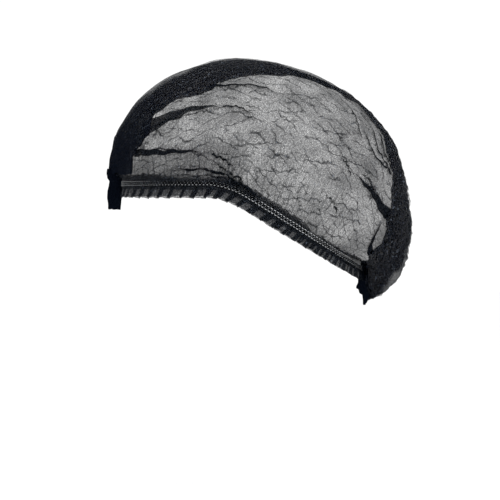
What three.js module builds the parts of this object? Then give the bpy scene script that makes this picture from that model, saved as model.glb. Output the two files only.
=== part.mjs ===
import * as THREE from "three";

// A black nylon hairnet in its worn shape, in millimetres, +Z up.
// -Y is the forehead, +Y the nape, and +X the side of the head that the pleats lean to.
// The origin is the middle of the head opening, level with the hem at the forehead.

// Reach of the net from the origin, seen from the side
const FRONT_REACH = 92.9; // forward, to the pleats on the forehead
const BACK_REACH = 123.5; // backward, to the fullest part of the pouch
const CROWN_RISE = 88.8; // up, to the top of the head
const POUCH_DROP = 86.4; // down, to the tip at the nape

// Hem line, halfway up the hem band
const FRONT_OVERHANG = 8.9; // how far the pleats stand out in front of it
const POUCH_OVERHANG = 35.5; // how far the pouch stands out behind it
const HEM_HALF_WIDTH = 78;
const HEM_FRONT = FRONT_REACH - FRONT_OVERHANG;
const HEM_BACK = BACK_REACH - POUCH_OVERHANG;
const HEM_LEVEL_UNTIL = -24; // the hem is level from the forehead to here, then falls
const HEM_DROP = 61; // fall of the hem from the forehead to the nape
const HEM_EASE = 0.28; // share of the falling stretch that the bend takes
const TAB_HALF_ANGLE = 5; // degrees of the hem loop on each side of a tab

// The net
const NET_WALL = 1;
const BELLY = 14; // how far the pouch swells sideways
const HEM_LEAD = 0.34; // how much the sections lean back at the top, as the pouch does
const SIDE_ARC = 130; // from the middle line down to the hem, over the net
const PLEAT_WALL = 0.8;
const PLEAT_RISE = 1.4; // height of each knife pleat above the band of pleats

// The hem
const BAND_HEIGHT = 6;
const BAND_WALL = 1.4;
const ELASTIC_SIZE = 0.9;
const ELASTIC_SPACING = 3.2;
const RUFFLE_DEPTH = 7.5;
const RUFFLE_WALL = 1;
const RUFFLE_PITCH = 9.8; // length of one knife pleat along the hem
const RUFFLE_WAVE = 1.5; // how far a pleat stands out of the ruffle
const TOOTH_DEPTH = 2.2; // fall of the ruffle's edge along one pleat
const TOOTH_TURN = 0.3; // share of the pitch at which a pleat turns
const RUFFLE_TOP_WAVE = 0.25; // share of the wave that is left where the ruffle is sewn on
const FLAT_AT_TAB = 0.013; // share of the hem beside a tab over which the pleats flatten

// The tabs, stacks of pleats at the two ends
const TAB_WIDTH = 12;
const BACK_TAB_DEPTH = 7;
const BACK_TAB_SET = 2; // how far the back tab stands behind the hem line
const FRONT_TAB_BOTTOM = -18;
const TAB_RIDGES = 4;
const TAB_GROOVE = 1.1;

// Clearances
const GAP = 0.4; // between neighbouring pieces
const PLEAT_GAP = 0.9; // between the band of pleats and the net under it

// Facets
const ROWS_ALONG = 52; // from the front tab over the top to the back tab
const CELLS_PER_SIDE = 16; // from the middle line down to one hem
const PLEAT_CELLS = 6;
const HEM_FACETS = 56;

// The middle line seen from the side: reach is a share of FRONT_REACH or BACK_REACH,
// height a share of CROWN_RISE or POUCH_DROP.
const MIDDLE_LINE = [
  { reach: -1.0, height: 0.11 },
  { reach: -0.986, height: 0.248 },
  { reach: -0.92, height: 0.467 },
  { reach: -0.77, height: 0.696 },
  { reach: -0.524, height: 0.878 },
  { reach: -0.199, height: 0.984 },
  { reach: 0.054, height: 1.0 },
  { reach: 0.267, height: 0.968 },
  { reach: 0.522, height: 0.833 },
  { reach: 0.745, height: 0.593 },
  { reach: 0.891, height: 0.323 },
  { reach: 0.971, height: -0.028 },
  { reach: 1.0, height: -0.382 },
  { reach: 0.968, height: -0.671 },
  { reach: 0.874, height: -0.874 },
  { reach: 0.753, height: -0.96 },
];

// Edges of the band of pleats: along is the share of the middle line, far and near are
// shares of the way down to the hem on the far side (below zero) and the near side.
const PLEAT_EDGES = [
  { along: 0.0, far: -0.6, near: 0.6 },
  { along: 0.05, far: -0.3, near: 0.8 },
  { along: 0.11, far: 0.1, near: 0.8 },
  { along: 0.16, far: 0.26, near: 0.66 },
  { along: 0.23, far: 0.25, near: 0.49 },
  { along: 0.34, far: 0.13, near: 0.43 },
  { along: 0.42, far: 0.04, near: 0.28 },
  { along: 0.55, far: -0.08, near: 0.12 },
  { along: 0.64, far: -0.03, near: 0.2 },
  { along: 0.72, far: 0.08, near: 0.34 },
  { along: 0.8, far: 0.14, near: 0.55 },
  { along: 0.87, far: 0.08, near: 0.74 },
  { along: 0.94, far: -0.2, near: 0.8 },
  { along: 1.0, far: -0.5, near: 0.8 },
];

// Raised folds: each runs from one place on the net to another, given as shares along the
// middle line and down to the hem. Height and width are in millimetres.
const FOLDS = [
  { from: 0.15, fromDown: 0.76, to: 0.34, toDown: 0.57, height: 3.8, width: 6 },
  { from: 0.13, fromDown: 0.88, to: 0.33, toDown: 0.84, height: 3.2, width: 5 },
  { from: 0.24, fromDown: 0.93, to: 0.47, toDown: 0.93, height: 3.2, width: 5 },
  { from: 0.34, fromDown: 0.52, to: 0.47, toDown: 0.45, height: 3.6, width: 6 },
  { from: 0.56, fromDown: 0.33, to: 0.7, toDown: 0.44, height: 3.2, width: 6 },
  { from: 0.58, fromDown: 0.58, to: 0.77, toDown: 0.62, height: 3.6, width: 6 },
  { from: 0.78, fromDown: 0.68, to: 0.92, toDown: 0.88, height: 3.8, width: 6 },
  { from: 0.08, fromDown: -0.5, to: 0.32, toDown: -0.42, height: 3.8, width: 6 },
  { from: 0.1, fromDown: -0.8, to: 0.36, toDown: -0.76, height: 3.2, width: 5 },
  { from: 0.55, fromDown: -0.5, to: 0.76, toDown: -0.4, height: 3.4, width: 6 },
  { from: 0.6, fromDown: -0.75, to: 0.86, toDown: -0.55, height: 3.8, width: 6 },
];

// The middle line as a smooth curve, read by its length
function makeMiddleLine() {
  const points = MIDDLE_LINE.map(({ reach, height }) => {
    const y = reach * (reach < 0 ? FRONT_REACH : BACK_REACH);
    const z = height * (height < 0 ? POUCH_DROP : CROWN_RISE);
    return new THREE.Vector3(0, y, z);
  });
  return new THREE.CatmullRomCurve3(points, false, "catmullrom", 0.5);
}

const middleLine = makeMiddleLine();

// Height of the hem line: level, then an eased bend, then a straight fall
function hemHeight(y) {
  const share = (y - HEM_LEVEL_UNTIL) / (HEM_BACK - HEM_LEVEL_UNTIL);
  if (share < 0) return 0;
  const slope = 1 / (1 - HEM_EASE / 2);
  const eased = (share * share) / (2 * HEM_EASE);
  return -HEM_DROP * slope * (share < HEM_EASE ? eased : share - HEM_EASE / 2);
}

// The hem line at an angle round the head, from the forehead to the nape on the +X side
function hemPoint(angle) {
  const ahead = Math.cos(angle);
  const y = -ahead * (ahead > 0 ? HEM_FRONT : HEM_BACK);
  return new THREE.Vector3(HEM_HALF_WIDTH * Math.sin(angle), y, hemHeight(y));
}

// Directions at a place on the hem: along it, outwards and up the band
function hemFrame(along) {
  const out = new THREE.Vector3(along.y, -along.x, 0).normalize();
  const up = new THREE.Vector3().crossVectors(out, along).normalize();
  return { out, up };
}

// The place where the net meets the hem, just above the band and outside it
function netEdge(share) {
  const tab = THREE.MathUtils.degToRad(TAB_HALF_ANGLE);
  const led = share + HEM_LEAD * share * (1 - share);
  const angle = tab + (Math.PI - 2 * tab) * led;
  const step = 0.001;
  const place = hemPoint(angle);
  const along = hemPoint(angle + step).sub(hemPoint(angle - step)).normalize();
  const { out, up } = hemFrame(along);
  place.addScaledVector(out, BAND_WALL / 2 + GAP + NET_WALL);
  return place.addScaledVector(up, BAND_HEIGHT / 2 + GAP);
}

// The smooth net: share runs along the middle line, down from it to the hem on each side
function netSurface(share, down) {
  const top = middleLine.getPointAt(THREE.MathUtils.clamp(share, 0, 1));
  const edge = netEdge(THREE.MathUtils.clamp(share, 0, 1));
  const turn = (Math.abs(down) * Math.PI) / 2;
  const swell = BELLY * Math.sin(Math.PI * share * share) * Math.sin(2 * turn);
  const x = Math.sign(down) * (edge.x * Math.sin(turn) + swell);
  const fall = 1 - Math.cos(turn);
  const y = top.y + (edge.y - top.y) * fall;
  return new THREE.Vector3(x, y, top.z + (edge.z - top.z) * fall);
}

function netNormal(share, down) {
  const step = 0.002;
  const ends = [Math.max(share - step, 0), Math.min(share + step, 1)];
  const alongStep = netSurface(ends[1], down).sub(netSurface(ends[0], down));
  const downStep = netSurface(share, down + step).sub(netSurface(share, down - step));
  return downStep.cross(alongStep).normalize();
}

// Height of the folds over the smooth net
function foldHeight(share, down) {
  let height = 0;
  for (const fold of FOLDS) {
    const part = (share - fold.from) / (fold.to - fold.from);
    if (part <= 0 || part >= 1) continue;
    const line = fold.fromDown + (fold.toDown - fold.fromDown) * part;
    const away = ((down - line) * SIDE_ARC) / fold.width;
    const taper = Math.sqrt(Math.sin(Math.PI * part));
    height = Math.max(height, fold.height * taper * Math.exp(-away * away));
  }
  return height;
}

function netPoint(share, down, lift) {
  return netSurface(share, down).addScaledVector(netNormal(share, down), lift);
}

// Mesh from a list of points and a list of triangles
function meshOf(points, triangles) {
  const geometry = new THREE.BufferGeometry().setFromPoints(points);
  geometry.setIndex(triangles);
  geometry.computeVertexNormals();
  return geometry;
}

// A closed wall from two grids of points, its outer and its inner face
function wallGeometry(rows, columns, outerPoint, innerPoint) {
  const points = [];
  for (const pointAt of [outerPoint, innerPoint]) {
    for (let i = 0; i <= rows; i += 1) {
      for (let j = 0; j <= columns; j += 1) points.push(pointAt(i, j));
    }
  }
  const innerStart = (rows + 1) * (columns + 1);
  const outer = (i, j) => i * (columns + 1) + j;
  const inner = (i, j) => innerStart + outer(i, j);
  const triangles = [];
  const quad = (a, b, c, d) => triangles.push(a, b, c, a, c, d);
  for (let i = 0; i < rows; i += 1) {
    for (let j = 0; j < columns; j += 1) {
      quad(outer(i, j), outer(i, j + 1), outer(i + 1, j + 1), outer(i + 1, j));
      quad(inner(i, j), inner(i + 1, j), inner(i + 1, j + 1), inner(i, j + 1));
    }
  }
  for (let j = 0; j < columns; j += 1) {
    quad(outer(0, j), inner(0, j), inner(0, j + 1), outer(0, j + 1));
    quad(outer(rows, j), outer(rows, j + 1), inner(rows, j + 1), inner(rows, j));
  }
  for (let i = 0; i < rows; i += 1) {
    quad(outer(i, 0), outer(i + 1, 0), inner(i + 1, 0), inner(i, 0));
    quad(outer(i, columns), inner(i, columns), inner(i + 1, columns), outer(i + 1, columns));
  }
  return meshOf(points, triangles);
}

// A closed ring through like sections, each a loop of corners
function ringGeometry(sections) {
  const corners = sections[0].length;
  const triangles = [];
  sections.forEach((section, i) => {
    const here = i * corners;
    const next = ((i + 1) % sections.length) * corners;
    for (let j = 0; j < corners; j += 1) {
      const k = (j + 1) % corners;
      triangles.push(here + j, next + j, next + k, here + j, next + k, here + k);
    }
  });
  return meshOf(sections.flat(), triangles);
}

// The whole hem line as a closed loop: the +X side to the nape, then back on the other side
function makeHemLoop() {
  const tab = THREE.MathUtils.degToRad(TAB_HALF_ANGLE);
  const points = [];
  const half = HEM_FACETS / 2;
  for (let i = 0; i <= half; i += 1) {
    points.push(hemPoint(tab + ((Math.PI - 2 * tab) * i) / half));
  }
  const mirrored = points.map((point) => new THREE.Vector3(-point.x, point.y, point.z));
  return new THREE.CatmullRomCurve3(points.concat(mirrored.reverse()), true, "centripetal");
}

const hemLoop = makeHemLoop();

// A section of a ring on the hem: corners are distances outwards and up from the hem line
function hemSection(share, corners) {
  const place = hemLoop.getPointAt(share % 1);
  const { out, up } = hemFrame(hemLoop.getTangentAt(share % 1));
  return corners.map(([outwards, upwards]) =>
    place.clone().addScaledVector(out, outwards).addScaledVector(up, upwards),
  );
}

// Four corners of a bar, from its inner and outer face and its bottom and top
function barCorners(inside, outside, bottom, top) {
  return [
    [outside, bottom],
    [outside, top],
    [inside, top],
    [inside, bottom],
  ];
}

function crownNet() {
  const columns = 2 * CELLS_PER_SIDE;
  const shareOf = (i) => i / ROWS_ALONG;
  const downOf = (j) => j / CELLS_PER_SIDE - 1;
  const pointAt = (lift) => (i, j) =>
    netPoint(shareOf(i), downOf(j), lift + foldHeight(shareOf(i), downOf(j)));
  return wallGeometry(ROWS_ALONG, columns, pointAt(0), pointAt(-NET_WALL));
}

// The edges of the band of pleats at a share of the middle line
function pleatEdges(share) {
  const next = Math.max(1, PLEAT_EDGES.findIndex((row) => row.along >= share));
  const [a, b] = [PLEAT_EDGES[next - 1], PLEAT_EDGES[next]];
  const part = (share - a.along) / (b.along - a.along);
  const smooth = part * part * (3 - 2 * part);
  return {
    far: THREE.MathUtils.lerp(a.far, b.far, smooth),
    near: THREE.MathUtils.lerp(a.near, b.near, smooth),
  };
}

function centrePleats() {
  const downAt = (i, j) => {
    const { far, near } = pleatEdges(i / ROWS_ALONG);
    return far + ((near - far) * j) / PLEAT_CELLS;
  };
  const under = (i, j) => netPoint(i / ROWS_ALONG, downAt(i, j), PLEAT_GAP);
  const over = (i, j) => {
    const lift = PLEAT_GAP + PLEAT_WALL + (j % 2) * PLEAT_RISE;
    return netPoint(i / ROWS_ALONG, downAt(i, j), lift);
  };
  return wallGeometry(ROWS_ALONG, PLEAT_CELLS, over, under);
}

function hemBand() {
  const half = BAND_HEIGHT / 2;
  const corners = barCorners(-BAND_WALL / 2, BAND_WALL / 2, -half, half);
  const sections = [];
  for (let i = 0; i < HEM_FACETS; i += 1) sections.push(hemSection(i / HEM_FACETS, corners));
  return ringGeometry(sections);
}

// One row of elastic thread, at a height on the outside of the hem band
function elasticRow(height) {
  const inside = BAND_WALL / 2 + GAP;
  const bottom = height - ELASTIC_SIZE / 2;
  const corners = barCorners(inside, inside + ELASTIC_SIZE, bottom, bottom + ELASTIC_SIZE);
  const sections = [];
  for (let i = 0; i < HEM_FACETS; i += 1) sections.push(hemSection(i / HEM_FACETS, corners));
  return ringGeometry(sections);
}

function ruffle() {
  const pleats = 2 * Math.round(hemLoop.getLength() / RUFFLE_PITCH / 2);
  const top = -BAND_HEIGHT / 2 - GAP;
  const sections = [];
  for (let i = 0; i < pleats; i += 1) {
    for (const turned of [false, true]) {
      const share = (i + (turned ? TOOTH_TURN : 0)) / pleats;
      const awayFromTab = Math.abs(Math.sin(2 * Math.PI * share)) / (2 * Math.PI * FLAT_AT_TAB);
      const atTab = Math.min(1, awayFromTab);
      const wave = (turned ? RUFFLE_WAVE : 0) * atTab;
      const bottom = top - RUFFLE_DEPTH - (turned ? 0 : TOOTH_DEPTH) + TOOTH_DEPTH / 2;
      const half = RUFFLE_WALL / 2;
      sections.push(
        hemSection(share, [
          [wave + half, bottom],
          [wave * RUFFLE_TOP_WAVE + half, top],
          [wave * RUFFLE_TOP_WAVE - half, top],
          [wave - half, bottom],
        ]),
      );
    }
  }
  return ringGeometry(sections);
}

// Plan of a tab: flat at the back, with the edges of its pleats as ridges at the front
function tabPlan(depth) {
  const plan = new THREE.Shape();
  plan.moveTo(-TAB_WIDTH / 2, 0);
  plan.lineTo(TAB_WIDTH / 2, 0);
  const step = TAB_WIDTH / TAB_RIDGES;
  for (let i = 0; i < TAB_RIDGES; i += 1) {
    const right = TAB_WIDTH / 2 - i * step;
    plan.lineTo(right, -depth);
    plan.lineTo(right - step / 2, -depth + TAB_GROOVE);
  }
  plan.lineTo(-TAB_WIDTH / 2, -depth);
  plan.closePath();
  return plan;
}

function tabGeometry(depth, height) {
  return new THREE.ExtrudeGeometry(tabPlan(depth), { depth: height, bevelEnabled: false });
}

const netBlack = new THREE.MeshStandardMaterial({ color: 0x23272e, roughness: 0.85 });
const pleatBlack = new THREE.MeshStandardMaterial({ color: 0x171b22, roughness: 0.8 });
const elasticGrey = new THREE.MeshStandardMaterial({ color: 0x9a9ca0, roughness: 0.6 });

const hairnet = new THREE.Group();

function addPiece(name, geometry, material) {
  const mesh = new THREE.Mesh(geometry, material);
  mesh.name = name;
  hairnet.add(mesh);
  return mesh;
}

addPiece("crown_net", crownNet(), netBlack);
addPiece("centre_pleats", centrePleats(), pleatBlack);
addPiece("hem_band", hemBand(), pleatBlack);
addPiece("elastic_upper", elasticRow(ELASTIC_SPACING / 2), elasticGrey);
addPiece("elastic_lower", elasticRow(-ELASTIC_SPACING / 2), elasticGrey);
addPiece("ruffle", ruffle(), netBlack);

// The front tab carries the pleats on down, in front of the hem
const pleatFace = FRONT_REACH + PLEAT_GAP + PLEAT_WALL;
const hemFace = HEM_FRONT + BAND_WALL / 2 + ELASTIC_SIZE + 2 * GAP;
const frontTabTop = (middleLine.getPointAt(0).z + netEdge(0).z) / 2 - 2 * GAP;
const frontTab = addPiece(
  "front_tab",
  tabGeometry(pleatFace - hemFace, frontTabTop - FRONT_TAB_BOTTOM),
  pleatBlack,
);
frontTab.position.set(0, -hemFace, FRONT_TAB_BOTTOM);

// The back tab hangs below the ruffle, with its ridges towards the neck
const ruffleBottom = hemHeight(HEM_BACK) - BAND_HEIGHT / 2 - RUFFLE_DEPTH - TOOTH_DEPTH;
const backTab = addPiece(
  "back_tab",
  tabGeometry(BACK_TAB_DEPTH, ruffleBottom - GAP + POUCH_DROP),
  pleatBlack,
);
backTab.position.set(0, HEM_BACK + BACK_TAB_SET, -POUCH_DROP);

export default hairnet;
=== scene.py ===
import math
import random

import bpy
import numpy as np
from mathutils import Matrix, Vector, noise


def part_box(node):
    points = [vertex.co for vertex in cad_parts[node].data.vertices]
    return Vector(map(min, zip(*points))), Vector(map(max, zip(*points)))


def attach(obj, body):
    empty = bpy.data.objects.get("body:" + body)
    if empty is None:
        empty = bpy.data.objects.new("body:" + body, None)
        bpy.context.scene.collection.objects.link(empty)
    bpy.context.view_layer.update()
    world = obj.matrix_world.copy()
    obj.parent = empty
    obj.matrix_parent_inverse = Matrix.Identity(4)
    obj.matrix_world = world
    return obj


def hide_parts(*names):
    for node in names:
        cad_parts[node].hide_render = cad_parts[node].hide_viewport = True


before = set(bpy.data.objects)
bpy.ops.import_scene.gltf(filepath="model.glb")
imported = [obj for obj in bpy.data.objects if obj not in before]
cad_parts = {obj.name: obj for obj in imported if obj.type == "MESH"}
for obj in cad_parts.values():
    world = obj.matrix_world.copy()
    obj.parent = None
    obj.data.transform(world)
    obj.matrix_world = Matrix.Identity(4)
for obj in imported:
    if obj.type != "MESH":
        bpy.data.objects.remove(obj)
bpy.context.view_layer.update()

# Camera
# The photo looks level at the net from its right side, from well back, so that near and far
# parts of the net keep almost the same scale.
MM = 0.001
VIEW_AIM = Vector((0.0, 7.9, -47.5)) * MM
VIEW_DISTANCE = 4.0
VIEW_WIDTH = 0.36
SENSOR_WIDTH = 36.0

camera_data = bpy.data.cameras.new("camera")
camera_data.sensor_width = SENSOR_WIDTH
camera_data.lens = SENSOR_WIDTH * VIEW_DISTANCE / VIEW_WIDTH
camera = bpy.data.objects.new("camera", camera_data)
bpy.context.collection.objects.link(camera)
camera.location = VIEW_AIM + Vector((VIEW_DISTANCE, 0.0, 0.0))
camera.rotation_euler = (math.pi / 2, 0.0, math.pi / 2)
bpy.context.scene.camera = camera

# Crown net
# One long piece of soft crimped nylon tulle, knife-pleated lengthwise and gathered at both
# ends. Worn, the pleats open over the sides of the head and the spare length hangs at the
# back as a pouch. The side panels keep a few loose folds that lead from the two ends.
net_low, net_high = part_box("crown_net")
band_low, band_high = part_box("hem_band")
BAND_WALL = 1.4 * MM
NET_WALL = 1.0 * MM
HEM_CLEARANCE = 0.4 * MM
FRONT_REACH = -net_low[1]
BACK_REACH = net_high[1]
CROWN_RISE = net_high[2]
POUCH_DROP = -net_low[2]
HEM_HALF_HEIGHT = band_high[2]
HEM_HALF_WIDTH = band_high[0] - BAND_WALL / 2
HEM_FRONT = -band_low[1] - BAND_WALL / 2
HEM_BACK = band_high[1] - BAND_WALL / 2
HEM_DROP = -band_low[2] - HEM_HALF_HEIGHT
HEM_LEVEL_UNTIL = -24 * MM
HEM_EASE = 0.28
TAB_HALF_ANGLE = math.radians(5)
HEM_LEAD = 0.34
# How far the sides swell out, then the cloth's length from middle line to hem and tab to tab
BELLY = 14 * MM
SIDE_ARC = 130 * MM
MIDDLE_LENGTH = 395 * MM

# The middle line from the forehead to the nape: share of the reach, share of the rise or drop
MIDDLE_LINE = [
    (-1.0, 0.11), (-0.986, 0.248), (-0.92, 0.467), (-0.77, 0.696), (-0.524, 0.878),
    (-0.199, 0.984), (0.054, 1.0), (0.267, 0.968), (0.522, 0.833), (0.745, 0.593),
    (0.891, 0.323), (0.971, -0.028), (1.0, -0.398), (0.968, -0.699), (0.874, -0.91),
    (0.753, -1.0),
]


def middle_points():
    """The middle line's points in the YZ plane, in metres."""
    points = []
    for reach, height in MIDDLE_LINE:
        y = reach * (FRONT_REACH if reach < 0 else BACK_REACH)
        z = height * (POUCH_DROP if height < 0 else CROWN_RISE)
        points.append((y, z))
    return np.array(points)


def smooth_curve(points, steps):
    """A Catmull-Rom curve through points, read at even shares of its length."""
    padded = np.vstack([2 * points[0] - points[1], points, 2 * points[-1] - points[-2]])
    fine = []
    for i in range(len(points) - 1):
        a, b, c, d = padded[i : i + 4]
        for u in np.linspace(0, 1, 40, endpoint=i == len(points) - 2):
            ease = 2 * b + (c - a) * u + (2 * a - 5 * b + 4 * c - d) * u**2
            fine.append((ease + (3 * b - a - 3 * c + d) * u**3) / 2)
    fine = np.array(fine)
    length = np.concatenate([[0], np.cumsum(np.linalg.norm(np.diff(fine, axis=0), axis=1))])
    even = np.linspace(0, length[-1], steps)
    return np.column_stack([np.interp(even, length, fine[:, k]) for k in range(2)])


MIDDLE = smooth_curve(middle_points(), 2001)
MIDDLE_SHARES = np.linspace(0, 1, len(MIDDLE))


def hem_height(y):
    """Height of the hem line: level, then an eased bend, then a straight fall."""
    share = np.maximum((y - HEM_LEVEL_UNTIL) / (HEM_BACK - HEM_LEVEL_UNTIL), 0)
    slope = 1 / (1 - HEM_EASE / 2)
    eased = share**2 / (2 * HEM_EASE)
    return -HEM_DROP * slope * np.where(share < HEM_EASE, eased, share - HEM_EASE / 2)


def hem_point(angle):
    ahead = np.cos(angle)
    y = -ahead * np.where(ahead > 0, HEM_FRONT, HEM_BACK)
    return np.stack([HEM_HALF_WIDTH * np.sin(angle), y, hem_height(y)], axis=-1)


def unit(vectors):
    return vectors / np.linalg.norm(vectors, axis=-1, keepdims=True)


def hem_frame(angle):
    """Directions at a place on the hem: along it, outwards and up the band."""
    step = 0.001
    along = unit(hem_point(angle + step) - hem_point(angle - step))
    flat = np.stack([along[..., 1], -along[..., 0], 0 * along[..., 0]], axis=-1)
    out = unit(flat)
    return along, out, unit(np.cross(out, along))


def net_surface(along, down):
    """The smooth net at a share of the middle line and a share of the way down to the hem."""
    along = np.clip(along, 0, 1)
    top = np.stack([np.interp(along, MIDDLE_SHARES, MIDDLE[:, k]) for k in range(2)], axis=-1)
    led = along + HEM_LEAD * along * (1 - along)
    angle = TAB_HALF_ANGLE + (math.pi - 2 * TAB_HALF_ANGLE) * led
    _, out, up = hem_frame(angle)
    edge = hem_point(angle) + out * (BAND_WALL / 2 + HEM_CLEARANCE + NET_WALL)
    edge = edge + up * (HEM_HALF_HEIGHT + HEM_CLEARANCE)
    turn = np.abs(down) * math.pi / 2
    swell = BELLY * np.sin(math.pi * along**2) * np.sin(2 * turn)
    x = np.sign(down) * (edge[..., 0] * np.sin(turn) + swell)
    fall = 1 - np.cos(turn)
    y = top[..., 0] + (edge[..., 1] - top[..., 0]) * fall
    z = top[..., 1] + (edge[..., 2] - top[..., 1]) * fall
    return np.stack([x, y, z], axis=-1)


def net_point(along, down, lift):
    """A place on the net, lifted off its smooth face by so many metres."""
    step = 0.002
    ahead = net_surface(along + step, down) - net_surface(along - step, down)
    sideways = net_surface(along, down + step) - net_surface(along, down - step)
    normal = unit(np.cross(sideways, ahead))
    return net_surface(along, down) + normal * np.asarray(lift)[..., None]


def ripple(points, size, seed):
    """Smooth noise between -1 and 1 at each point, with waves of about the given size."""
    shift = Vector((seed * 3.7, seed * 1.3, seed * 7.1))
    flat = points.reshape(-1, 3) / size
    values = [noise.noise(Vector(p) + shift) for p in flat.tolist()]
    return np.array(values).reshape(points.shape[:-1])


def mesh_piece(name, points, faces):
    """One smooth piece from lists of points and faces."""
    mesh = bpy.data.meshes.new(name)
    mesh.from_pydata(points, [], faces)
    mesh.polygons.foreach_set("use_smooth", [True] * len(faces))
    mesh.update()
    piece = bpy.data.objects.new(name, mesh)
    bpy.context.collection.objects.link(piece)
    return piece


def sheet_piece(name, points, cloth, closed=False):
    """An open sheet from a grid of points, with a UV map in metres of flat cloth."""
    rows, columns = points.shape[:2]
    ring = rows if closed else rows - 1
    i, j = np.meshgrid(np.arange(ring), np.arange(columns - 1), indexing="ij")
    k = (i + 1) % rows
    corners = [i * columns + j, i * columns + j + 1, k * columns + j + 1, k * columns + j]
    faces = np.stack(corners, axis=-1).reshape(-1, 4)
    piece = mesh_piece(name, points.reshape(-1, 3).tolist(), faces.tolist())
    flat = cloth.reshape(-1, 2)[faces.ravel()]
    piece.data.uv_layers.new(name="cloth").data.foreach_set("uv", flat.ravel())
    return piece


def add_bunching(piece, values):
    """How much thicker than one layer the net looks at each vertex, as gathers bunch it."""
    layer = piece.data.attributes.new("bunching", "FLOAT", "POINT")
    layer.data.foreach_set("value", np.clip(values, 0, 1).ravel())


# Folds of the side panels, as overlaps of the cloth. Rows: the wide end and the narrow end as
# shares along the middle line and down to the hem (below zero on the far side), how far the
# middle of the fold bends down, the width in mm at both ends, square to the fold, and how much
# it bunches.
FOLDS = [
    (0.14, 0.637, 0.37, 0.6, -0.012, 22, 1.7, 0.4),
    (0.335, 0.592, 0.41, 0.628, 0.0, 2.0, 1.5, 0.6),
    (0.11, 0.775, 0.34, 0.87, 0.02, 9.5, 1.8, 0.75),
    (0.33, 0.86, 0.4, 0.915, 0.015, 2.0, 1.5, 0.6),
    (0.47, 1.0, 0.2, 0.945, -0.008, 2.6, 1.6, 0.75),
    (0.42, 0.975, 0.33, 0.92, 0.0, 2.0, 1.5, 0.6),
    (0.29, 0.445, 0.45, 0.46, -0.01, 4.2, 1.6, 0.75),
    (0.72, 0.35, 0.595, 0.29, 0.1, 4.0, 1.6, 0.65),
    (0.705, 0.36, 0.61, 0.2, 0.08, 2.6, 1.5, 0.6),
    (0.62, 0.42, 0.56, 0.22, 0.0, 1.8, 1.4, 0.5),
    (0.71, 0.34, 0.63, 0.17, 0.05, 2.2, 1.5, 0.5),
    (0.64, 0.645, 0.59, 0.6, 0.0, 2.2, 1.6, 0.6),
    (0.79, 0.52, 0.62, 0.6, 0.05, 15, 1.7, 0.65),
    (0.868, 0.82, 0.765, 0.56, 0.1, 14, 2.6, 0.8),
    (0.66, 0.85, 0.59, 0.8, 0.0, 1.8, 1.4, 0.5),
    (0.13, -0.63, 0.32, -0.58, 0.0, 4, 1.5, 0.1),
    (0.11, -0.78, 0.3, -0.86, 0.02, 3.2, 1.4, 0.1),
    (0.43, -0.98, 0.2, -0.94, -0.015, 2.4, 1.4, 0.1),
    (0.8, -0.55, 0.62, -0.6, 0.035, 4, 1.5, 0.1),
]
FOLD_OVERLAP = 3.0
NARROWEST_FOLD = 1.3
LAYER_RISE = 0.5 * MM
FOLD_RIDGE = 1.2 * MM
# The net runs this far past the hem's upper edge, as a share, so that no gap shows there
NET_END = 1.02
NET_ROWS = 470
NET_COLUMNS = 210


def fold_cloth(along, down):
    """Laps the cloth over itself at each fold: its new share down, its lift and its bunching.

    In the middle of a fold the share down runs back, so three layers lie on each other. A fold's
    slant turns its width, which is square to it, into a width down the side.
    """
    shifted = down.copy()
    lift = np.zeros_like(down)
    bunched = np.zeros_like(down)
    for wide, wide_down, narrow, narrow_down, bend, wide_width, narrow_width, bunch in FOLDS:
        part = (along - wide) / (narrow - wide)
        inside = (part > 0) & (part < 1)
        part = np.clip(part, 0, 1)
        wander = 0.006 * np.sin(9 * part + 40 * wide) + 0.004 * np.sin(31 * part)
        line = wide_down + (narrow_down - wide_down) * part + 4 * bend * part * (1 - part)
        width = narrow_width + (wide_width - narrow_width) * (1 - part) ** 2
        slope = (narrow_down - wide_down + 4 * bend * (1 - 2 * part)) / (narrow - wide)
        slant = np.hypot(1, slope * SIDE_ARC / MIDDLE_LENGTH)
        zone = np.maximum(width, NARROWEST_FOLD) * slant * MM
        taper = np.clip(12 * part, 0, 1) * np.clip(3.5 * (1 - part), 0, 1)
        away = np.clip((down - line - wander) * SIDE_ARC / zone, -1, 1)
        reach = FOLD_OVERLAP * taper * zone / math.pi / SIDE_ARC
        shifted = shifted - np.where(inside, reach * np.sin(math.pi * away), 0)
        hump = np.clip((away + 1) / 0.6, 0, 1) * (1 - np.clip((away + 0.4) / 0.8, 0, 1))
        ridge = FOLD_RIDGE * np.exp(-((away * 1.5) ** 2))
        lift = lift + np.where(inside, (2 * LAYER_RISE * hump + ridge) * taper, 0)
        core = np.clip((0.9 - np.abs(away)) / 0.15, 0, 1)
        bunched = np.maximum(bunched, np.where(inside, bunch * taper * core, 0))
    return shifted, lift, bunched


def smooth_step(low, high, values):
    part = np.clip((values - low) / (high - low), 0, 1)
    return part * part * (3 - 2 * part)


def net_crumple(smooth, along, down):
    """How far the net's small bulges lift it off its smooth face, finely so at the back."""
    edge = np.clip((1 - np.abs(down)) / 0.12, 0, 1)
    middle = smooth_step(0.3, 0.6, along)
    crumple = 0.5 * ripple(smooth, 18 * MM, 1) + 0.3 * ripple(smooth, 7 * MM, 2)
    ragged = 1.1 * smooth_step(0.5, 0.7, along) * np.exp(-((down / 0.3) ** 2))
    crumple = crumple * (0.6 + 1.2 * middle) + ragged * ripple(smooth, 3 * MM, 4)
    return crumple * MM * edge


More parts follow.
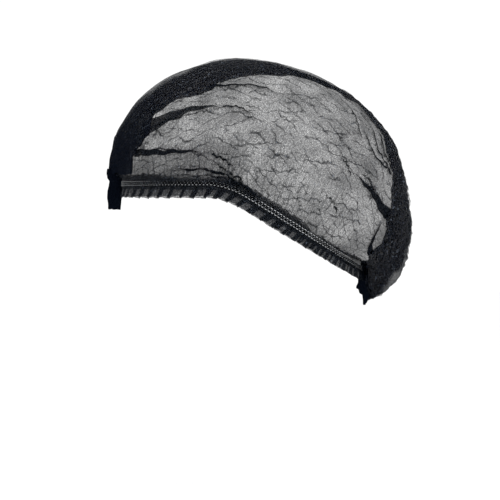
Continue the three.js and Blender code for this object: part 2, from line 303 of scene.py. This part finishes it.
def crown_piece():
    along, down = np.meshgrid(
        np.linspace(0, 1, NET_ROWS), np.linspace(-NET_END, NET_END, NET_COLUMNS), indexing="ij"
    )
    smooth = net_surface(along, down)
    shifted, lift, bunched = fold_cloth(along, down)
    lift = lift + net_crumple(smooth, along, down)
    points = net_point(along, np.clip(shifted, -NET_END, NET_END), lift - NET_WALL / 2)
    cloth = np.stack([along * MIDDLE_LENGTH, down * SIDE_ARC], axis=-1)
    piece = sheet_piece("crown_net_cloth", points, cloth)
    ends = np.exp(-along / 0.05) + np.exp(-(1 - along) / 0.05)
    front = smooth_step(0.72, 0.88, np.abs(down)) * (1 - smooth_step(0.33, 0.46, along))
    top = np.exp(-(((along - 0.44) / 0.1) ** 2))
    gathered = (0.36 - 0.3 * top) * np.exp(-((down / 0.3) ** 2)) + 0.32 * front
    hem = 0.3 * np.exp(-np.clip(1 - np.abs(down), 0, 1) / 0.03)
    patches = 0.14 + 0.32 * ripple(smooth, 16 * MM, 3) + 0.12 * ripple(smooth, 6 * MM, 13)
    patches = np.clip(patches + 0.06 * smooth_step(0.5, 0.75, along), 0, 1) * (1 - 0.2 * front)
    # Each is a cause of bunching: both ends, the gathers beside the band, the hem and the folds
    clear = (1 - 0.3 * ends) * (1 - gathered) * (1 - hem) * (1 - patches) * (1 - bunched)
    add_bunching(piece, 1 - clear)
    return piece


def linear(hex_colour):
    """A hex sRGB colour as linear red, green, blue and alpha."""
    parts = [int(hex_colour[i : i + 2], 16) / 255 for i in (1, 3, 5)]
    low = [c / 12.92 if c <= 0.04045 else ((c + 0.055) / 1.055) ** 2.4 for c in parts]
    return (*low, 1.0)


def add_node(tree, kind, settings, **links):
    """Adds one node, sets its named properties and sockets, and links its inputs.

    A setting or link that is named by a letter and a number is the socket of that number.
    """
    node = tree.nodes.new(kind)
    for key, value in settings.items():
        if hasattr(node, key):
            setattr(node, key, value)
        else:
            node.inputs[int(key[1:]) if key[0] == "#" else key].default_value = value
    for key, source in links.items():
        tree.links.new(source, node.inputs[int(key[1:]) if key[1:].isdigit() else key])
    return node


# Thread cells, creases and painted glints (painted highlight specks), as sizes on the flat cloth
TULLE_CELL = 0.95 * MM
CREASE_WIDTH = 0.75 * MM
VEIN_SPACING = 8 * MM
SHORT_CREASE_SPACING = 7 * MM
PAINTED_GLINT_CELL = 0.9 * MM
THREAD_BUMP = 0.2 * MM


def creases(tree, cloth, across, size, shown):
    """Thin ragged lines across the given direction: shown on a line and 0 beside it."""
    settings = {"operation": "DOT_PRODUCT", "#1": [part / size for part in across]}
    run = add_node(tree, "ShaderNodeVectorMath", settings, i0=cloth).outputs["Value"]
    settings = {"Scale": 0.6 / size, "Detail": 3.0, "Roughness": 0.6}
    wander = add_node(tree, "ShaderNodeTexNoise", settings, Vector=cloth).outputs[0]
    settings = {"operation": "MULTIPLY_ADD", "#1": 1.6}
    run = add_node(tree, "ShaderNodeMath", settings, i0=wander, i2=run).outputs[0]
    settings = {"operation": "PINGPONG", "#1": 0.5}
    off = add_node(tree, "ShaderNodeMath", settings, i0=run).outputs[0]
    settings = {"From Max": CREASE_WIDTH / size, "To Min": 1.0, "To Max": 0.0}
    line = add_node(tree, "ShaderNodeMapRange", settings, Value=off).outputs[0]
    settings = {"Scale": 0.5 / size, "Detail": 1.0}
    where = add_node(tree, "ShaderNodeTexNoise", settings, Vector=cloth).outputs[0]
    settings = {"From Min": 0.42, "From Max": 0.52, "To Max": shown}
    where = add_node(tree, "ShaderNodeMapRange", settings, Value=where).outputs[0]
    crease = add_node(tree, "ShaderNodeMath", {"operation": "MULTIPLY"}, i0=line, i1=where)
    return crease.outputs[0]


def net_material(name, colour, cover, creased):
    """Fine nylon tulle: open cells between thin dull threads, with small dark creases.

    Each factor is the share of light that one thing lets through: the threads, the long
    creases, the short ones near the hem, and the cloth's bunching, which also dulls the
    threads' sheen as painted shade inside packed folds. Pale specks are painted highlights:
    random cells of the colour made pale, where single threads would catch the light, and
    fewer where the cloth bunches. The real mesh is about 0.5 mm, and is drawn coarser, or
    the picture's pixels would lose it.
    """
    material = bpy.data.materials.new(name)
    material.use_nodes = True
    tree = material.node_tree
    tree.nodes.clear()
    cloth = add_node(tree, "ShaderNodeUVMap", {"uv_map": "cloth"}).outputs[0]
    settings = {"feature": "DISTANCE_TO_EDGE", "Scale": 1 / TULLE_CELL, "Randomness": 0.8}
    cells = add_node(tree, "ShaderNodeTexVoronoi", settings, Vector=cloth).outputs["Distance"]
    settings = {"From Min": 0.03, "From Max": 0.2, "To Min": 1.0, "To Max": 0.0}
    threads = add_node(tree, "ShaderNodeMapRange", settings, Value=cells).outputs[0]
    settings = {"To Min": 1.3 - cover, "To Max": 0.7 - cover}
    let_through = [add_node(tree, "ShaderNodeMapRange", settings, Value=threads).outputs[0]]
    let_through[0].node.clamp = False
    veins = creases(tree, cloth, (0.3, 0.95, 0.0), VEIN_SPACING, creased)
    short = creases(tree, cloth, (1.0, 0.1, 0.0), SHORT_CREASE_SPACING, creased)
    down = add_node(tree, "ShaderNodeSeparateXYZ", {}, Vector=cloth).outputs[1]
    down = add_node(tree, "ShaderNodeMath", {"operation": "ABSOLUTE"}, i0=down).outputs[0]
    settings = {"From Min": 0.6 * SIDE_ARC, "From Max": 0.95 * SIDE_ARC, "To Max": 0.8}
    near_hem = add_node(tree, "ShaderNodeMapRange", settings, Value=down).outputs[0]
    short = add_node(tree, "ShaderNodeMath", {"operation": "MULTIPLY"}, i0=short, i1=near_hem)
    bunching = add_node(tree, "ShaderNodeAttribute", {"attribute_name": "bunching"})
    for shade in (veins, short.outputs[0], bunching.outputs["Fac"]):
        settings = {"operation": "SUBTRACT", "#0": 1.0}
        let_through.append(add_node(tree, "ShaderNodeMath", settings, i1=shade).outputs[0])
    clear = let_through[0]
    for factor in let_through[1:]:
        settings = {"operation": "MULTIPLY", "use_clamp": True}
        clear = add_node(tree, "ShaderNodeMath", settings, i0=clear, i1=factor).outputs[0]
    settings = {"Strength": 0.5, "Distance": THREAD_BUMP}
    bump = add_node(tree, "ShaderNodeBump", settings, Height=threads).outputs[0]
    open_cloth = let_through[-1]
    settings = {"operation": "MULTIPLY", "#1": 0.05}
    sheen = add_node(tree, "ShaderNodeMath", settings, i0=open_cloth).outputs[0]
    # Painted highlight: some random cells take a pale colour, as glints where single threads
    # catch the light, and fewer where the cloth bunches
    settings = {"Scale": 1 / PAINTED_GLINT_CELL}
    any_value = add_node(tree, "ShaderNodeTexVoronoi", settings, Vector=cloth).outputs["Color"]
    settings = {"From Min": 0.84, "From Max": 1.0}
    painted_glint = add_node(tree, "ShaderNodeMapRange", settings, Value=any_value).outputs[0]
    painted_glint = add_node(tree, "ShaderNodeMath", {"operation": "MULTIPLY"}, i0=painted_glint, i1=open_cloth)
    settings = {"data_type": "RGBA", "#6": linear(colour), "#7": linear("#6c7684")}
    tone = add_node(tree, "ShaderNodeMix", settings, Factor=painted_glint.outputs[0]).outputs[2]
    settings = {"Roughness": 0.62, "IOR": 1.53}
    links = {"Base Color": tone, "Normal": bump, "Specular IOR Level": sheen}
    nylon = add_node(tree, "ShaderNodeBsdfPrincipled", settings, **links).outputs[0]
    gap = add_node(tree, "ShaderNodeBsdfTransparent", {}).outputs[0]
    surface = add_node(tree, "ShaderNodeMixShader", {}, i0=clear, i1=nylon, i2=gap).outputs[0]
    add_node(tree, "ShaderNodeOutputMaterial", {}, Surface=surface)
    return material


# A single layer, so that the light behind it shows through and its creases stand out dark
crown = crown_piece()
crown.data.materials.append(net_material("nylon_tulle", "#0e1116", 0.34, 0.88))
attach(crown, "root")
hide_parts("crown_net")

# Centre pleats
# The spare width of the net stays folded as a band of narrow knife pleats that lie on the
# crown and run from one tab to the other. Several layers of tulle lie on each other here,
# so the band is close to solid black.

# Rows: share of the middle line, then the far and the near edge as shares down to the hem.
PLEAT_EDGES = [
    (0.0, -0.6, 0.7), (0.05, -0.1, 0.93), (0.07, 0.15, 0.96), (0.105, 0.22, 0.95),
    (0.12, 0.23, 0.8), (0.174, 0.23, 0.69), (0.19, 0.23, 0.545), (0.24, 0.2, 0.51),
    (0.3, 0.07, 0.48), (0.335, 0.06, 0.39), (0.41, 0.13, 0.32), (0.46, 0.16, 0.26),
    (0.51, 0.15, 0.22), (0.555, 0.04, 0.19), (0.58, -0.05, 0.12), (0.64, -0.04, 0.2),
    (0.706, 0.0, 0.35), (0.755, 0.02, 0.47), (0.78, 0.08, 0.58), (0.8, 0.12, 0.6),
    (0.835, 0.08, 0.68), (0.848, 0.08, 0.84), (0.88, 0.14, 0.87), (0.9, 0.22, 0.89),
    (0.93, 0.38, 0.91), (0.96, 0.3, 0.95), (0.98, 0.0, 0.97), (1.0, -0.5, 0.98),
]
PLEAT_COUNT = 7
PLEAT_LAP = 1.2
PLEAT_BASE = 0.2 * MM
PLEAT_LIFT = 0.8 * MM
PLEAT_CLOTH = 30 * MM
PLEAT_ROWS = 330
STEPS_PER_LEG = 8


def knife_pleats(count, lap, steps):
    """Path of a row of knife pleats: how far across, from 0 to 1, and how high, from 0 to 1."""
    across, height = [], []
    pitch = 1 / (count + lap)
    for i in range(count):
        start = i * pitch
        for u in np.linspace(0, 1, steps, endpoint=False):
            across.append(start + u * pitch * (1 + lap))
            height.append(1 - u)
        for u in np.linspace(0, 1, steps, endpoint=False):
            across.append(start + pitch * (1 + lap) - u * pitch * lap)
            height.append(0.5 * u if u < 0.85 else 0.43 + 3.8 * (u - 0.85))
    for u in np.linspace(0, 1, steps):
        across.append(count * pitch + u * (1 - count * pitch))
        height.append(1 - 0.6 * u)
    return np.array(across), np.array(height)


def eased(shares, rows):
    """Columns of a table read at the given shares of its first column, with smooth steps."""
    table = np.array(rows)
    k = np.clip(np.searchsorted(table[:, 0], shares) - 1, 0, len(table) - 2)
    part = np.clip((shares - table[k, 0]) / (table[k + 1, 0] - table[k, 0]), 0, 1)
    smooth = (part * part * (3 - 2 * part))[:, None]
    return table[k, 1:] * (1 - smooth) + table[k + 1, 1:] * smooth


def pleats_piece():
    across, height = knife_pleats(PLEAT_COUNT, PLEAT_LAP, STEPS_PER_LEG)
    shares = np.linspace(0, 1, PLEAT_ROWS)
    far, near = eased(shares, PLEAT_EDGES).T
    along = np.repeat(shares[:, None], len(across), axis=1)
    down = far[:, None] + (near - far)[:, None] * across[None, :]
    smooth = net_surface(along, down)
    down = down + 0.022 * ripple(smooth, 16 * MM, 5) + 0.008 * ripple(smooth, 5 * MM, 6)
    place = net_surface(along, down)
    ragged = smooth_step(0.5, 0.7, along) * (1 - np.exp(-((down / 0.3) ** 2)))
    crumple = 0.3 * ripple(smooth, 9 * MM, 7) + ragged * (0.4 + 0.8 * ripple(place, 3 * MM, 4))
    lift = PLEAT_BASE + PLEAT_LIFT * height[None, :] + MM * crumple
    # The band lies on the net, so it follows the net's bulges and goes over its folds
    lift = lift + net_crumple(place, along, down) + fold_cloth(along, down)[1]
    points = net_point(along, down, lift)
    run = np.concatenate([[0], np.cumsum(np.abs(np.diff(across)))])
    cloth = np.stack([along * MIDDLE_LENGTH, 0 * along + run[None, :] * PLEAT_CLOTH], axis=-1)
    piece = sheet_piece("centre_pleats_cloth", points, cloth)
    # Towards the forehead the pleats close up and let no light through. The same bunching dulls
    # their sheen and painted glints there, so this end is also darkened as painted shade.
    add_bunching(piece, 0.05 + 0.9 * (1 - smooth_step(0.05, 0.27, along)))
    return piece


# Many layers of the same net: close to black, with hardly a crease to be seen. Its colour,
# darker than the crown net's, is partly painted shade.
pleats = pleats_piece()
pleated_net_with_painted_shade = net_material("pleated_nylon_tulle", "#080c14", 0.56, 0.2)
pleats.data.materials.append(pleated_net_with_painted_shade)
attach(pleats, "root")
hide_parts("centre_pleats")

# Hem band
# The raw edge of the net is turned up and sewn down as a doubled hem about 10 mm high. Its
# turned-in edge is ragged, and the elastic draws it into fine gathers.
RING_STEPS = 4000
HEM_STEPS = 1500
HEM_BOTTOM = -3.2 * MM
HEM_CLOTH = 18 * MM
GATHER_PITCH = 1.25 * MM
GATHER_DEPTH = 0.22 * MM
# Its section from the ragged edge down, round the turn and up inside: mm outwards, share up
HEM_PROFILE = np.array([
    (0.55, 1.0), (0.6, 0.75), (0.6, 0.5), (0.55, 0.25), (0.5, 0.06), (0.0, 0.0),
    (-0.5, 0.06), (-0.5, 0.22), (-0.5, 0.4), (-0.5, 0.58),
])
# How high the ragged edge stands above the middle of the hem: place along Y and height, in mm
HEM_EDGE = [
    (-90, 6.2), (-76, 6.6), (-58, 6.4), (-44, 3.8), (-18, 3.8), (-8, 6.2), (42, 6.2), (52, 3.7),
    (74, 3.7), (82, 6.2), (92, 6.2),
]


def hem_ring(count, ahead=0.0):
    """Evenly spaced places round the whole hem, with the directions along, out and up."""
    fine = np.linspace(0, 2 * math.pi, RING_STEPS)
    gaps = np.linalg.norm(np.diff(hem_point(fine), axis=0), axis=1)
    length = np.concatenate([[0], np.cumsum(gaps)])
    arcs = (np.arange(count) / count if np.isscalar(count) else count) * length[-1] + ahead
    angle = np.interp(arcs % length[-1], length, fine)
    return (hem_point(angle), *hem_frame(angle), length[-1])


def hem_piece():
    place, _, out, up, length = hem_ring(HEM_STEPS)
    out_mm, share_up = HEM_PROFILE.T
    ragged = 1.5 * ripple(place, 2.5 * MM, 8) + 1.2 * ripple(place, 11 * MM, 9)
    edge = np.array(HEM_EDGE)
    top = (np.interp(place[:, 1] / MM, edge[:, 0], edge[:, 1]) + ragged) * MM
    outwards = out_mm[None, :] * MM
    upwards = HEM_BOTTOM + (top[:, None] - HEM_BOTTOM) * share_up[None, :]
    arc = np.arange(len(place)) / len(place) * length
    gather = np.sin(arc / GATHER_PITCH + 4 * ripple(place, 12 * MM, 10))
    outwards = outwards + GATHER_DEPTH * gather[:, None] * (0.4 + share_up[None, :])
    points = place[:, None] + out[:, None] * outwards[..., None]
    points = points + up[:, None] * upwards[..., None]
    turned = HEM_CLOTH * np.linspace(0, 1, len(HEM_PROFILE))[None, :]
    cloth = np.stack(np.broadcast_arrays(arc[:, None], turned), axis=-1)
    piece = sheet_piece("hem_band_cloth", points, cloth, closed=True)
    add_bunching(piece, 0.25 + 0 * upwards)
    return piece


# Two layers drawn together: dark, with a little light at its upper edge
hem = hem_piece()
hem.data.materials.append(net_material("doubled_hem_tulle", "#0b0e12", 0.62, 0.4))
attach(hem, "root")
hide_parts("hem_band")

# Elastic thread
# Two rows of light grey covered elastic are chain-stitched through the hem, with short
# threads across between them, so each row shows as a line of small oval stitches.
STITCH_PITCH = 2.7 * MM
STITCH_LENGTH = 1.9 * MM
STITCH_WIDTH = 0.55 * MM
STITCH_HEIGHT = 0.4 * MM
STITCH_OUT = 1.0 * MM
STITCH_SKEW = 0.09
STITCH_STRAY = 0.1 * MM
ROW_OFFSET = 1.35 * MM
ROW_SHIFT = 0.4 * MM
CROSS_THREAD = 0.17 * MM
CROSS_THREAD_TILT = 1.15
CROSS_THREAD_SHIFT = 1.2 * MM


def oval_stitch(length, width, height, sides=6, rings=5):
    """Points and faces of one small oval stitch along X, its width along Y."""
    points = [(-length / 2, 0, 0)]
    for ring in range(1, rings):
        turn = math.pi * ring / rings
        for side in range(sides):
            angle = 2 * math.pi * side / sides
            y = width / 2 * math.sin(turn) ** 0.6 * math.cos(angle)
            points.append((-length / 2 * math.cos(turn), y, height / 2 * math.sin(angle)))
    points.append((length / 2, 0, 0))
    faces = [(0, 1 + (s + 1) % sides, 1 + s) for s in range(sides)]
    for ring in range(rings - 2):
        a, b = 1 + ring * sides, 1 + (ring + 1) * sides
        for s in range(sides):
            faces.append((a + s, a + (s + 1) % sides, b + (s + 1) % sides, b + s))
    last = 1 + (rings - 2) * sides
    faces += [(len(points) - 1, last + s, last + (s + 1) % sides) for s in range(sides)]
    return np.array(points), faces


def stitch_piece(name, up_offset, stitch, upright=0.0, ahead=0.0):
    """One row of stitches round the hem, each turned by upright towards the band's height."""
    shape, faces = stitch
    length = hem_ring(4)[-1]
    count = round(length / STITCH_PITCH)
    place, along, out, up, _ = hem_ring(count, ahead)
    rng = random.Random(len(name))
    points, all_faces = [], []
    for i in range(count):
        tilt = upright + rng.uniform(-STITCH_SKEW, STITCH_SKEW)
        axis_x = along[i] * math.cos(tilt) + up[i] * math.sin(tilt)
        axis_y = up[i] * math.cos(tilt) - along[i] * math.sin(tilt)
        # The stitches draw smaller towards the forehead and the nape
        pulled = 0.55 + 0.45 * smooth_step(-0.05, 0.03, place[i][1])
        pulled = pulled - 0.45 * smooth_step(0.045, 0.085, place[i][1])
        size = rng.uniform(0.9, 1.06) * pulled
        stray = rng.uniform(-1, 1) * STITCH_STRAY
        centre = place[i] + out[i] * STITCH_OUT + up[i] * (up_offset + stray)
        moved = shape[:, :1] * axis_x + shape[:, 1:2] * axis_y + shape[:, 2:] * out[i]
        all_faces += [tuple(k + len(points) for k in face) for face in faces]
        points += (centre + size * moved).tolist()
    return mesh_piece(name, points, all_faces)


# The wrap is finer on the real thread, and is drawn coarser so that it shows
WRAP_SIZE = 0.9 * MM
WRAP_BUMP = 0.2 * MM


def elastic_material():
    """Covered elastic: a rubber core wrapped in grey textured nylon, dull with a faint twist."""
    material = bpy.data.materials.new("covered_elastic_thread")
    material.use_nodes = True
    tree = material.node_tree
    surface = tree.nodes["Principled BSDF"]
    surface.inputs["Roughness"].default_value = 0.55
    surface.inputs["IOR"].default_value = 1.52
    place = add_node(tree, "ShaderNodeTexCoord", {}).outputs["Object"]
    settings = {"Scale": 1 / WRAP_SIZE, "Detail": 2.0}
    wrap = add_node(tree, "ShaderNodeTexNoise", settings, Vector=place).outputs["Fac"]
    settings = {"data_type": "RGBA", "#6": linear("#7a7d81"), "#7": linear("#dcdee0")}
    tone = add_node(tree, "ShaderNodeMix", settings, Factor=wrap).outputs[2]
    tree.links.new(tone, surface.inputs["Base Color"])
    settings = {"Strength": 0.5, "Distance": WRAP_BUMP}
    bump = add_node(tree, "ShaderNodeBump", settings, Height=wrap).outputs["Normal"]
    tree.links.new(bump, surface.inputs["Normal"])
    return material


elastic = elastic_material()
oval = oval_stitch(STITCH_LENGTH, STITCH_WIDTH, STITCH_HEIGHT)
for row, side in (("elastic_upper", 1), ("elastic_lower", -1)):
    stitches = stitch_piece(row + "_stitches", side * ROW_OFFSET, oval, ahead=side * ROW_SHIFT)
    stitches.data.materials.append(elastic)
    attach(stitches, "root")
    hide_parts(row)
thin = oval_stitch(2 * ROW_OFFSET, CROSS_THREAD, CROSS_THREAD, sides=4, rings=4)
rungs = stitch_piece(
    "elastic_cross_threads", 0.0, thin, upright=CROSS_THREAD_TILT, ahead=CROSS_THREAD_SHIFT
)
rungs.data.materials.append(elastic)
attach(rungs, "root")

# Ruffle
# Below the elastic the net ends in a short frill of knife pleats, which lap over each other
# and lean towards the forehead on both sides. The cut edge of each pleat slants, so the
# frill's edge is a row of blunt saw teeth.
RUFFLE_PLEATS = 56
RUFFLE_LAP = 0.3
RUFFLE_TOP = -2.4 * MM
RUFFLE_DEPTH = 7.0 * MM
TOOTH_DEPTH = 1.3 * MM
RUFFLE_LAYER = 0.7 * MM
RUFFLE_LEAN = 0.45
# Across this far from the middle plane the lean comes in, so that the two sides meet upright
LEAN_EASE = 20 * MM
RUFFLE_COLUMNS = 10


def ruffle_piece():
    shares, layer, slant = [], [], []
    for i in range(RUFFLE_PLEATS):
        rng = random.Random(100 + i)
        lap = RUFFLE_LAP * rng.uniform(0.7, 1.5)
        depth = rng.uniform(0.3, 1.2)
        for u in np.linspace(0, 1, 12, endpoint=False):
            shares.append(i + u * (1 + lap))
            layer.append(2 - 2 * u)
            slant.append(depth * (0.5 - u))
        for u in np.linspace(0, 1, 5, endpoint=False):
            shares.append(i + 1 + lap - u * lap)
            layer.append(0.4 + 1.2 * u)
            slant.append(depth * (u - 0.5))
    shares = np.array(shares) / RUFFLE_PLEATS
    place, along, out, up, length = hem_ring(shares % 1.0)
    fall = np.linspace(0, 1, RUFFLE_COLUMNS)[None, :]
    slant = np.array(slant)[:, None]
    layer = np.array(layer)[:, None]
    wave = ripple(place, 14 * MM, 11)[:, None]
    flare = (0.6 + 1.0 * wave) * MM * fall**1.5
    outwards = 0.3 * MM + RUFFLE_LAYER * layer * (0.35 + 0.65 * fall) + flare
    tooth = TOOTH_DEPTH * slant + 0.5 * MM * ripple(place, 2.5 * MM, 12)[:, None]
    upwards = RUFFLE_TOP - RUFFLE_DEPTH * fall + (-tooth) * fall**2
    lean = -RUFFLE_LEAN * RUFFLE_DEPTH * fall * np.clip(place[:, :1] / LEAN_EASE, -1, 1)
    points = (
        place[:, None]
        + out[:, None] * outwards[..., None]
        + up[:, None] * upwards[..., None]
        + along[:, None] * (lean + 0 * outwards)[..., None]
    )
    run = np.cumsum(np.abs(np.diff(shares, prepend=shares[0]))) * length
    cloth = np.stack(np.broadcast_arrays(run[:, None], upwards), axis=-1)
    piece = sheet_piece("ruffle_cloth", points, cloth, closed=True)
    add_bunching(piece, 0.35 * np.exp(-fall / 0.35) + 0.38 + 0 * outwards)
    return piece


# A layer or two: lighter than the hem above it, dark where the pleats lap
ruffle = ruffle_piece()
ruffle.data.materials.append(net_material("frill_tulle", "#12151a", 0.56, 0.4))
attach(ruffle, "root")
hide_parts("ruffle")

# Tabs
# At the forehead and at the nape all the pleats are stacked, sewn across and cut off, so each
# end is a small dense block of folded tulle with a frayed lower edge.
TAB_FOLDS = 11
TAB_HALF_WIDTH = 6 * MM
TAB_FOLD_DEPTH = 8 * MM
TAB_FRAY = 1.0 * MM
FRONT_TAB_TOP = 11 * MM
BACK_TAB_TOP = -55 * MM
BACK_TAB_FRAY_DROP = 0.5 * MM
# Rows of each outline: height as a share from bottom to top, then the edge away from the
# wearer and the edge towards the wearer, in mm from the block's outer face.
FRONT_TAB_OUTLINE = [
    (0.0, 0.4, 9.2), (0.15, 0.2, 9.6), (0.4, -0.2, 10.2), (0.6, 0.9, 10.4), (0.68, 1.4, 10.4),
    (0.78, -0.2, 10.4), (0.9, -0.6, 10.4), (1.0, -0.4, 10.6),
]
BACK_TAB_OUTLINE = [
    (0.0, -0.8, 0.8), (0.12, -0.9, 3.0), (0.22, -1.0, 4.0), (0.27, -3.4, 4.0), (0.34, -3.9, 4.0),
    (0.38, -5.8, 3.8), (0.52, -4.4, 3.2), (0.78, -3.0, 2.6), (1.0, -2.2, 2.0),
]


def tab_piece(name, outline, bottom, top, face, seed):
    """A stack of folds across X, its depth along Y following the outline's two edges."""
    rows, steps = 36, 7
    heights = np.linspace(0, 1, rows)
    outer, inner = eased(heights, outline).T * MM
    one_fold = np.linspace(0, 1, steps, endpoint=False)
    fold = np.concatenate([one_fold + i for i in range(TAB_FOLDS)])
    zigzag = np.abs((fold % 2) - 1)
    x = (fold / TAB_FOLDS - 0.5) * 2 * TAB_HALF_WIDTH
    grid_x = np.repeat(x[None, :], rows, axis=0)
    depth = outer[:, None] + (inner - outer)[:, None] * zigzag[None, :]
    z = bottom + (top - bottom) * heights[:, None] + 0 * grid_x
    points = np.stack([grid_x, face + depth, z], axis=-1)
    fray = TAB_FRAY * ripple(points, 1.6 * MM, seed) * (1 - heights[:, None]) ** 3
    points[..., 2] += fray
    points[..., 1] += 0.35 * MM * ripple(points, 4 * MM, seed + 1)
    points[..., 0] *= 1 + 0.12 * np.sin(7 * heights[:, None]) * (1 - heights[:, None])
    run = np.concatenate([[0], np.cumsum(np.abs(np.diff(zigzag)))]) * TAB_FOLD_DEPTH
    cloth = np.stack(np.broadcast_arrays(run[None, :], z), axis=-1)
    piece = sheet_piece(name, points, cloth)
    add_bunching(piece, 0.97 + 0 * z)
    return piece


front_low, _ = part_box("front_tab")
front_tab = tab_piece(
    "front_tab_cloth", FRONT_TAB_OUTLINE, front_low[2], FRONT_TAB_TOP, front_low[1], 20
)
back_low, back_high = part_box("back_tab")
back_bottom = back_low[2] - BACK_TAB_FRAY_DROP
back_tab = tab_piece(
    "back_tab_cloth", BACK_TAB_OUTLINE, back_bottom, BACK_TAB_TOP, back_high[1], 30
)
for tab, node, flat in (
    (front_tab, "front_tab", (0.10, 0.03)), (back_tab, "back_tab", (0.06, 0.032))
):
    tab.data.materials.append(pleated_net_with_painted_shade)
    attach(tab, "root")
    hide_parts(node)

# Floor and light
# A plain pale floor well below the net, a white surround, and a large soft lamp on each side
# of the camera, the one at the nape stronger.
FLOOR_SIZE = 40
FLOOR_LEVEL = -220 * MM
LAMP_SIZE = 1.4
SURROUND = 1.06

bpy.ops.mesh.primitive_plane_add(size=FLOOR_SIZE, location=(0, 0, FLOOR_LEVEL))
floor = bpy.context.active_object
floor.name = "floor"
paper = bpy.data.materials.new("white_paper")
paper.use_nodes = True
paper_surface = paper.node_tree.nodes["Principled BSDF"]
paper_surface.inputs["Base Color"].default_value = linear("#fafafa")
paper_surface.inputs["Roughness"].default_value = 0.9
floor.data.materials.append(paper)

for name, place, power in (
    ("key_lamp", (1.4, 1.2, 2.0), 16), ("fill_lamp", (1.6, -1.7, 1.2), 4)
):
    lamp_data = bpy.data.lights.new(name, "AREA")
    lamp_data.size = LAMP_SIZE
    lamp_data.energy = power
    lamp = bpy.data.objects.new(name, lamp_data)
    lamp.location = place
    lamp.rotation_euler = (-Vector(place)).to_track_quat("-Z", "Y").to_euler()
    bpy.context.collection.objects.link(lamp)

world = bpy.data.worlds.new("studio")
world.use_nodes = True
surround = world.node_tree.nodes["Background"]
surround.inputs["Color"].default_value = (1, 1, 1, 1)
surround.inputs["Strength"].default_value = SURROUND
bpy.context.scene.world = world
bpy.context.scene.view_settings.view_transform = "Standard"
